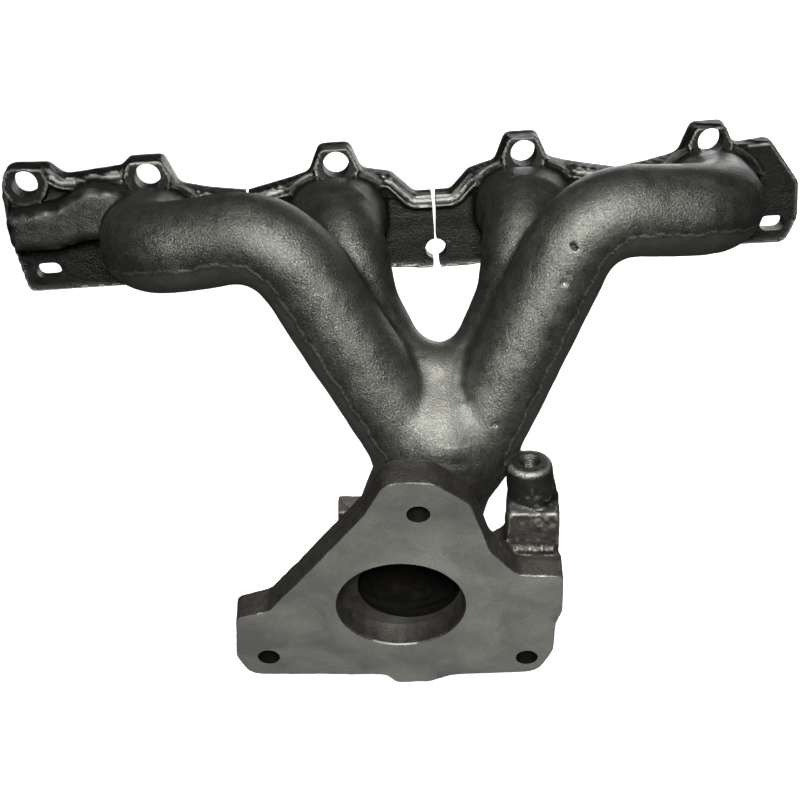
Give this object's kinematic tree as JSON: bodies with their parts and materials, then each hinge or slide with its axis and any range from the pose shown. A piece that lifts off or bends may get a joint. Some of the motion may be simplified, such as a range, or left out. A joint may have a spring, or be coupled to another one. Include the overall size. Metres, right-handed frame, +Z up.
{
  "type": "exhaust manifold",
  "caption": "Cast-iron exhaust manifold: curved runners from a slit head flange join in a collector that turns into a bolted outlet flange.",
  "frame": {"origin": "on the machined head-mating face, mid-way between the two inner ports, slightly below the port centres and just left of the central expansion slit", "axes": "+X along the row of ports, +Y out of the head-mating face into the cylinder head, +Z up"},
  "size_m": [0.4119, 0.1445, 0.2723],
  "materials": {
    "cast": "sand-cast skin, dark and slightly warm, bright where it has been rubbed",
    "flange": "dark cast skin in front, machined mating face behind",
    "outlet": "machined face, matt warm grey, cast edges"
  },
  "bodies": {
    "root": {"runner_1": "cast", "runner_2": "cast", "runner_3": "cast", "runner_4": "cast", "collector": "cast", "outlet_neck": "cast", "bracket_block": "cast", "bracket_post": "cast", "side_lug": "cast", "end_rib": "cast", "head_pad_1": "flange", "head_pad_2": "flange", "head_pad_3": "flange", "head_pad_4": "flange", "outlet_flange": "outlet"}
  },
  "joints": []
}
